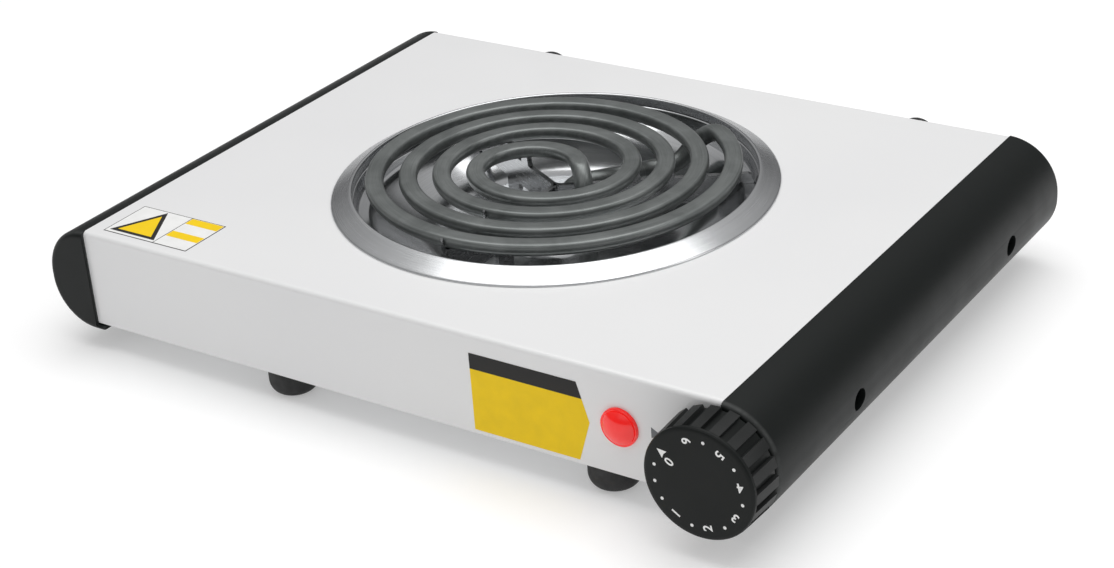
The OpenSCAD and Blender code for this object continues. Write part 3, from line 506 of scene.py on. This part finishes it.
def build_pan():
    """Drip pan: flange under the ring, short wall, ledge, curved bowl, flat floor and a collared hole."""
    top = TOP_Z / MM
    ledge = top - 5
    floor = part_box("leg_plate")[1][2] / MM + 0.9
    inner = [(87.9, top + 0.8), (82.2, top + 0.8), (81.75, top + 0.65), (81.5, top + 0.3), (80.9, ledge + 0.9),
             (80.6, ledge + 0.3), (80.0, ledge)]
    inner += [(76.4, ledge), (75.9, ledge - 0.12)]
    steps = 22
    for i in range(1, steps + 1):
        r = 75.5 - i * 27.5 / steps
        inner.append((r, floor + (ledge - floor) * (1 - math.cos(math.pi / 2 * (r - 48) / 27.5))))
    inner += [(30, floor), (26.2, floor), (25.4, floor + 0.4), (24.9, floor + 1.4), (24.3, floor + 1.5)]
    outer = [(24.3, floor + 0.9), (24.7, floor + 0.3), (25.2, floor - 0.75), (48, floor - 0.75)]
    for i in range(steps, 0, -1):
        r = 75.5 - i * 27.5 / steps
        outer.append((r + 0.35, floor + (ledge - floor) * (1 - math.cos(math.pi / 2 * (r - 48) / 27.5)) - 0.75))
    outer += [(76, ledge - 0.78), (81.2, ledge - 0.75), (82.0, top - 1.2), (82.0, top + 0.02), (87.9, top + 0.02)]
    verts, faces = revolve(inner + outer, (BURNER[0] / MM, BURNER[1] / MM), count=256)
    obj = piece("drip_pan_skin", verts, faces, "pan_steel", scale=MM, sharp=50)
    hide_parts("drip_pan")
    return obj


# Coil sizes in mm and degrees. The spiral is half circles that meet along the seam.
COIL_R = 72.6
PITCH = 13.6
SEAM = 45.0
COIL_SHIFT = 1.5
HALF_TURNS = 7
TUBE_R = 3.79
FLAT = 2.2
CROWN = 1.2
OUTER_TRIM = -5
DIVE_R = 13.0
DIVE_TILT = 45
SLANT_RUN = 4.0
LEVEL_R = 12.0
LEVEL_RUN = 36.5
OUTER_BEND_R = 8.0
INNER_LOOP_R = 21.0
INNER_BEND_R = 9.0


def coil_path():
    """Centre line of the whole tube in mm, outer leg first."""
    def u(a):
        return Vector((math.cos(math.radians(a)), math.sin(math.radians(a)), 0))

    z = COIL_TOP / MM - FLAT
    end_z = COIL_LOW[2] / MM
    origin = Vector((BURNER[0] / MM, BURNER[1] / MM, z)) + COIL_SHIFT * u(SEAM + 90)
    up = Vector((0, 0, 1))
    start = origin + COIL_R * u(SEAM - OUTER_TRIM)
    along = u(SEAM - OUTER_TRIM + 90)
    inward = u(SEAM - OUTER_TRIM + 180)
    points = []
    tilt = math.radians(DIVE_TILT)
    slope = math.cos(tilt) * inward - math.sin(tilt) * up
    for i in range(0, 31):
        t = math.radians(3 * i)
        w = DIVE_R * (1 - math.cos(t))
        points.append(start + DIVE_R * math.sin(t) * along + w * math.cos(tilt) * inward - w * math.sin(tilt) * up)
    at = start + DIVE_R * along + (DIVE_R + SLANT_RUN) * slope
    for i in range(0, 16):
        t = math.radians(3 * i)
        a, b = LEVEL_R * math.sin(t), LEVEL_R * (1 - math.cos(t))
        points.append(at + a * slope + b * (math.sin(tilt) * inward + math.cos(tilt) * up))
    at = points[-1] + LEVEL_RUN * inward
    for i in range(0, 31):
        t = math.radians(3 * i)
        points.append(at + OUTER_BEND_R * math.sin(t) * inward - OUTER_BEND_R * (1 - math.cos(t)) * up)
    last = points[-1].copy()
    last.z = end_z
    points.append(last)
    points.reverse()
    points.pop()
    for k in range(HALF_TURNS):
        middle = origin - (k % 2) * PITCH / 2 * u(SEAM)
        r = COIL_R - k * PITCH / 2
        trim = OUTER_TRIM if k == 0 else 0
        first = SEAM - 180 * k - trim
        sweep = 180 - trim
        for i in range(90):
            points.append(middle + r * u(first - sweep * i / 90))
    middle = origin - (COIL_R - 3 * PITCH - INNER_LOOP_R) * u(SEAM)
    for i in range(60):
        points.append(middle + INNER_LOOP_R * u(SEAM + 180 - 3 * i))
    at = middle + INNER_LOOP_R * u(SEAM)
    along = u(SEAM - 90)
    for i in range(0, 31):
        t = math.radians(3 * i)
        points.append(at + INNER_BEND_R * math.sin(t) * along - INNER_BEND_R * (1 - math.cos(t)) * up)
    last = points[-1].copy()
    last.z = end_z
    points.append(last)
    return points, z + FLAT


def soft_limit(value, limit, soft):
    """value, rounded off as it comes up to limit."""
    if value < limit - soft:
        return value
    return limit - soft + soft * math.tanh((value - limit + soft) / soft)


def build_coil():
    path, top = coil_path()
    sides = 40
    rows = []
    side = None
    for i, p in enumerate(path):
        along = (path[min(i + 1, len(path) - 1)] - path[max(i - 1, 0)]).normalized()
        if side is None:
            side = along.cross(Vector((0.31, 0.22, 0.93))).normalized()
        side = (side - side.dot(along) * along).normalized()
        other = side.cross(along)
        row = []
        for j in range(sides):
            a = 2 * math.pi * (j + 0.5) / sides
            q = p + TUBE_R * (math.cos(a) * side + math.sin(a) * other)
            row.append((q.x, q.y, soft_limit(q.z, top - 0.01, CROWN)))
        rows.append(row)
    faces = strips(rows, True)
    faces += [tuple(range(sides)), tuple((len(rows) - 1) * sides + j for j in range(sides))]
    obj = piece("coil_skin", [p for row in rows for p in row], faces, "sheath", scale=MM, sharp=60)
    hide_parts("heating_coil")
    return obj


# ---------------------------------------------------------------- knob

FLUTES = 19
FLUTE_START = 6.55


def knob_point(r, clockwise, y):
    a = math.radians(clockwise)
    return (KNOB_AXIS[0] / MM + r * math.sin(a), y, KNOB_AXIS[1] / MM + r * math.cos(a))


def build_knob():
    """Fluted skirt, round face with a soft edge, hollow back with a hub."""
    y0 = KNOB_LOW[1] / MM + 0.06
    y1 = KNOB_HIGH[1] / MM
    big = KNOB_R / MM - 0.02
    pitch = 360 / FLUTES
    angles = []
    for i in range(FLUTES):
        g = FLUTE_START + i * pitch
        angles += [(g - 4.6, 0), (g - 4.3, 0), (g - 3.9, 1), (g - 2, 1), (g, 1), (g + 2, 1), (g + 3.9, 1),
                   (g + 4.3, 0), (g + 4.6, 0), (g + 7.0, 0), (g + 9.5, 0), (g + 12.0, 0)]

    def ring(r, y, depth=0.0, flat=0.0):
        """flat is how far the lands are planed towards a straight chord."""
        row = []
        for a, low in angles:
            g = (a - FLUTE_START) % pitch
            off = (g - pitch / 2) if not low else 0.0
            chord = r * (1 - math.cos(math.radians(5))) * (1 - (off / 5.0) ** 2) * flat if not low else 0.0
            row.append(knob_point(r - depth * low - max(chord, 0.0), a, y))
        return row

    rows = [ring(1.0, y0), ring(10, y0), ring(19.6, y0), ring(20.3, y0 + 0.05), ring(20.9, y0 + 0.3),
            ring(21.25, y0 + 0.75), ring(21.35, y0 + 1.45), ring(21.4, y0 + 1.6, 0.05, 0.3),
            ring(21.42, y0 + 1.75, 1.2, 1.0), ring(21.5, y0 + 2.2, 1.5, 1.0),
            ring(big, y1 - 0.3, 1.5, 1.0), ring(big - 0.3, y1, 1.3, 1.0), ring(18.4, y1), ring(18.0, y1 - 0.4),
            ring(17.9, y0 + 3.0), ring(6.0, y0 + 3.0), ring(6.0, y1 - 1.6), ring(3.05, y1 - 1.6), ring(3.05, y0 + 5)]
    n = len(angles)
    faces = strips(rows, True)
    faces += [tuple(range(n)), tuple((len(rows) - 1) * n + j for j in range(n))]
    obj = piece("knob_skin", [p for row in rows for p in row], faces, "phenolic", "knob", sharp=28, scale=MM)
    # outer faces of the lands take the lighter material, a painted highlight
    obj.data.materials.append(MATERIALS["knob_land_highlight"].mat)
    axis = Vector((KNOB_AXIS[0], 0, KNOB_AXIS[1]))
    for face in obj.data.polygons:
        c = face.center
        out = Vector((c.x - axis.x, 0, c.z - axis.z)).length
        if c.y > KNOB_LOW[1] + 0.002 and out > 0.0209 and abs(face.normal.y) < 0.5:
            face.material_index = 1
    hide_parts("knob")
    return obj


def flat_shape(name, outline, depth, look, body, place):
    """A thin plate from a 2D outline in mm. place turns (u, v, lift) into a point in mm."""
    n = len(outline)
    verts = [place(a, b, 0.0) for a, b in outline] + [place(a, b, depth) for a, b in outline]
    faces = [tuple(range(n)), tuple(range(2 * n - 1, n - 1, -1))]
    faces += [(j, (j + 1) % n, n + (j + 1) % n, n + j) for j in range(n)]
    return piece(name, verts, faces, look, body, scale=MM)


def on_dial(u, v, lift):
    """u to the right and v up on the knob's face, lift out of it."""
    return (KNOB_AXIS[0] / MM + u, KNOB_LOW[1] / MM + 0.062 - lift, KNOB_AXIS[1] / MM + v)


def dial_dot(name, clockwise, r, size):
    a = math.radians(clockwise)
    outline = arc_points(r * math.sin(a), r * math.cos(a), size, 0, 345, 23)
    return flat_shape(name, outline, 0.05, "ink_white", "knob", on_dial)


def dial_digit(text, clockwise, r, height, top_angle):
    """A digit centred at r, its top pointing along top_angle, both clockwise from up."""
    curve = bpy.data.curves.new("digit_" + text, "FONT")
    curve.body = text
    curve.offset = 0.022
    source = bpy.data.objects.new("digit_source", curve)
    bpy.context.scene.collection.objects.link(source)
    bpy.context.view_layer.update()
    graph = bpy.context.evaluated_depsgraph_get()
    mesh = bpy.data.meshes.new_from_object(source.evaluated_get(graph))
    bpy.data.objects.remove(source)
    xs = [v.co.x for v in mesh.vertices]
    ys = [v.co.y for v in mesh.vertices]
    size = height / (max(ys) - min(ys))
    mid = ((max(xs) + min(xs)) / 2, (max(ys) + min(ys)) / 2)
    a = math.radians(clockwise)
    t = math.radians(top_angle)
    up = (math.sin(t), math.cos(t))
    right = (up[1], -up[0])
    verts = []
    for v in mesh.vertices:
        p = (v.co.x - mid[0]) * size
        q = (v.co.y - mid[1]) * size
        verts.append(on_dial(r * math.sin(a) + p * right[0] + q * up[0],
                             r * math.cos(a) + p * right[1] + q * up[1], 0.05))
    faces = [tuple(p.vertices) for p in mesh.polygons]
    bpy.data.meshes.remove(mesh)
    return piece("dial_digit_" + text, verts, faces, "ink_white", "knob", scale=MM)


def build_dial():
    for i, a in enumerate((281.4, 259.4, 236.4, 189.9, 145, 100.3, 54.7, 8.5)):
        dial_dot(f"dial_dot_{i}", a, 17.0, 0.62)
    for text, a in (("1", 213), ("2", 169), ("3", 123), ("4", 78), ("5", 32), ("6", 346.5)):
        dial_digit(text, a, 16.4, 3.6, a + 90)
    dial_digit("0", 298.7, 12.3, 3.6, 298.7)
    a = math.radians(303)
    out = (math.sin(a), math.cos(a))
    across = (out[1], -out[0])
    outline = [(out[0] * r + across[0] * w, out[1] * r + across[1] * w)
               for r, w in ((18.3, 0), (14.9, 1.7), (15.3, 0), (14.9, -1.7))]
    flat_shape("dial_arrow", outline, 0.05, "ink_white", "knob", on_dial)


# ---------------------------------------------------------------- lamp, feet, bumpers

def build_lens():
    x, z = centre("pilot_lens")[0] / MM, centre("pilot_lens")[2] / MM
    r = (LENS_HIGH[0] - LENS_LOW[0]) / 2 / MM
    front = LENS_LOW[1] / MM
    face = FRONT_Y / MM
    profile = [(0.02, front + 0.01)]
    ball = 11.2
    for i in range(1, 13):
        t = math.asin((r - 1.0) / ball) * i / 12
        profile.append((ball * math.sin(t), front + 0.01 + ball * (1 - math.cos(t))))
    profile += [(r - 0.9, face - 1.2), (r - 0.4, face - 1.35), (r - 0.1, face - 1.15), (r - 0.02, face - 0.7),
                (r - 0.02, face - 0.02), (5, face), (5, face + 5), (4, face + 5), (4, face - 1.0), (0.02, face - 1.4)]
    verts, faces = revolve(profile, (x, 0, z), "y", 96, closed=False)
    obj = piece("lens_skin", verts, faces, "lens_red", scale=MM)
    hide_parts("pilot_lens")


def build_foot(node):
    low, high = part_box(node)
    x, y = (low[0] + high[0]) / 2 / MM, (low[1] + high[1]) / 2 / MM
    r = (high[0] - low[0]) / 2 / MM
    top = high[2] / MM
    profile = [(2.2, top), (2.2, 4.5), (4.4, 4.5), (4.5, 0.3), (4.7, 0.05), (5.5, 0.02)]
    profile += [(5.5 + (r - 5.5) * math.sin(t), 5.5 * (1 - math.cos(t)) + 0.02)
                for t in (math.radians(7.5 * i) for i in range(1, 13))]
    profile += [(r, top - 0.5), (r - 0.15, top)]
    verts, faces = revolve(profile, (x, y), "z", 72)
    obj = piece(node + "_skin", verts, faces, "rubber", scale=MM)
    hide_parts(node)


def build_bumper(node):
    low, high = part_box(node)
    x, z = (low[0] + high[0]) / 2 / MM, (low[2] + high[2]) / 2 / MM
    r = (high[0] - low[0]) / 2 / MM - 0.01
    face = BACK_Y / MM
    tip = high[1] / MM - face
    profile = [(2.9, low[1] / MM), (2.9, face - 3.6), (4, face - 3.4), (4, face - 1.1), (2.9, face - 1.0),
               (2.9, face + 0.02), (r, face + 0.02)]
    limit = math.degrees(math.asin(min(1, tip / r)))
    profile += [(r * math.cos(t), face + r * math.sin(t)) for t in
                (math.radians(limit * i / 12) for i in range(1, 13))]
    profile += [(0.02, face + tip - 0.01)]
    verts, faces = revolve(profile, (x, 0, z), "y", 72, closed=False)
    obj = piece(node + "_skin", verts, faces, "rubber", scale=MM)
    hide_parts(node)


# ---------------------------------------------------------------- plain labels

def on_top(u, v, lift):
    """u from the shell's left edge, v back from its front face."""
    return (-SIDE_X / MM + u, FRONT_Y / MM + v, TOP_Z / MM + 0.01 + lift)


def on_front(u, v, lift):
    """u from the shell's left edge, v down from the worktop."""
    return (-SIDE_X / MM + u, FRONT_Y / MM - 0.01 - lift, TOP_Z / MM - v)


def frame_of(u0, v0, u1, v1):
    return [(u0, v0), (u1, v0), (u1, v1), (u0, v1)]


def build_labels():
    """Blank colour fields: a label by the left edge and one on the front face."""
    flat_shape("label_top_border", frame_of(6.5, 5.2, 50, 29.5), 0.06, "ink_black", "body", on_top)
    flat_shape("label_top_left", frame_of(6.9, 5.6, 32.4, 29.1), 0.1, "label_white", "body", on_top)
    flat_shape("label_top_right", frame_of(32.8, 5.6, 49.6, 29.1), 0.1, "label_white", "body", on_top)
    flat_shape("label_band_upper", frame_of(33, 24.2, 49.4, 28.9), 0.13, "ink_yellow", "body", on_top)
    flat_shape("label_band_lower", frame_of(33, 12.6, 49.4, 17.2), 0.13, "ink_yellow", "body", on_top)
    flat_shape("label_triangle", [(8.2, 7), (31.8, 7), (20, 28.6)], 0.13, "ink_black", "body", on_top)
    flat_shape("label_triangle_field", [(11.2, 8.7), (28.8, 8.7), (20, 24.9)], 0.16, "ink_yellow", "body", on_top)
    flat_shape("label_front", [(188, 7.6), (233.6, 7.6), (238.4, 23), (233.4, 39.4), (188, 39.4)], 0.08,
               "ink_yellow", "body", on_front)
    flat_shape("label_front_band", [(188, 7.6), (233.6, 7.6), (235.6, 14), (188, 14)], 0.11,
               "ink_black", "body", on_front)


def build_marker():
    """Small pointer printed on the front face beside the knob."""
    flat_shape("panel_marker", [(263.6, 17.7), (267.6, 19.9), (263.6, 22.1)], 0.03, "ink_grey", "body", on_front)


# ---------------------------------------------------------------- CAD nodes that stay

def dress_cad_nodes():
    slots = {s["node"]: s["material_slot"] for s in frame["record"]["subparts"]}
    for name, obj in frame["nodes"].items():
        if obj.hide_render:
            continue
        look = SLOT_LOOKS[slots[name]]
        obj.data.materials.clear()
        obj.data.materials.append(MATERIALS[look].mat)
        smooth(obj.data, 30)


# ---------------------------------------------------------------- stage

def build_stage():
    mesh = bpy.data.meshes.new("floor")
    mesh.from_pydata([(-4, -4, -0.0002), (4, -4, -0.0002), (4, 4, -0.0002), (-4, 4, -0.0002)], [], [(0, 1, 2, 3)])
    floor = bpy.data.objects.new("floor", mesh)
    bpy.context.scene.collection.objects.link(floor)
    mesh.materials.append(MATERIALS["floor_paint"].mat)


def area_light(name, place, target, size, power):
    data = bpy.data.lights.new(name, "AREA")
    data.shape = "RECTANGLE"
    data.size, data.size_y = size
    data.energy = power
    obj = bpy.data.objects.new(name, data)
    bpy.context.scene.collection.objects.link(obj)
    obj.location = place
    obj.rotation_euler = (Vector(target) - Vector(place)).to_track_quat("-Z", "Y").to_euler()


def build_light():
    world = bpy.data.worlds.new("studio")
    bpy.context.scene.world = world
    world.use_nodes = True
    nodes, links = world.node_tree.nodes, world.node_tree.links
    nodes.clear()
    out = nodes.new("ShaderNodeOutputWorld")
    back = nodes.new("ShaderNodeBackground")
    ramp = nodes.new("ShaderNodeValToRGB")
    split = nodes.new("ShaderNodeSeparateXYZ")
    coords = nodes.new("ShaderNodeTexCoord")
    links.new(coords.outputs["Generated"], split.inputs[0])
    links.new(split.outputs[2], ramp.inputs[0])
    ramp.color_ramp.elements[0].position = 0.05
    ramp.color_ramp.elements[0].color = (0.15, 0.15, 0.155, 1)
    ramp.color_ramp.elements[1].position = 0.95
    ramp.color_ramp.elements[1].color = (1.0, 1.0, 1.0, 1)
    links.new(ramp.outputs[0], back.inputs[0])
    back.inputs[1].default_value = 0.7
    links.new(back.outputs[0], out.inputs[0])
    area_light("key", (0.05, 0.1, 1.5), (0.05, 0, 0), (1.8, 1.5), 15.5)
    area_light("fill", (0.2, -1.6, 0.9), (0, 0, 0.03), (1.4, 0.8), 1.5)
    area_light("rim", (1.6, 0.3, 0.8), (0.1, 0, 0.03), (0.6, 1.4), 4)
    bpy.context.scene.view_settings.view_transform = "Standard"


def build_camera():
    """Camera at 35 degrees to the right of the front, 27 degrees up, leaning 4 degrees."""
    data = bpy.data.cameras.new("camera")
    data.lens = 71.49
    data.sensor_width = 36
    data.clip_start = 0.01
    obj = bpy.data.objects.new("camera", data)
    bpy.context.scene.collection.objects.link(obj)
    azimuth, elevation, roll = math.radians(35.04), math.radians(27.32), math.radians(-4.08)
    ahead = Vector((-math.sin(azimuth) * math.cos(elevation), math.cos(azimuth) * math.cos(elevation),
                    -math.sin(elevation)))
    right = ahead.cross(Vector((0, 0, 1))).normalized()
    up = right.cross(ahead)
    right, up = (math.cos(roll) * right + math.sin(roll) * up, math.cos(roll) * up - math.sin(roll) * right)
    turn = Matrix((right, up, -ahead)).transposed().to_4x4()
    place = Vector((-SIDE_X + 0.61239, FRONT_Y - 0.54710, TOP_Z + 0.37463))
    obj.matrix_world = Matrix.Translation(place) @ turn
    bpy.context.scene.camera = obj


# ---------------------------------------------------------------- build

for side in (1, -1):
    build_cap(side)
build_ring()
build_pan()
build_coil()
build_knob()
build_dial()
build_lens()
for end in ("front", "rear"):
    for hand in ("left", "right"):
        build_foot(f"foot_{end}_{hand}")
for hand in ("left", "right"):
    build_bumper(f"bumper_{hand}")
build_labels()
build_marker()
dress_cad_nodes()
build_stage()
build_light()
build_camera()
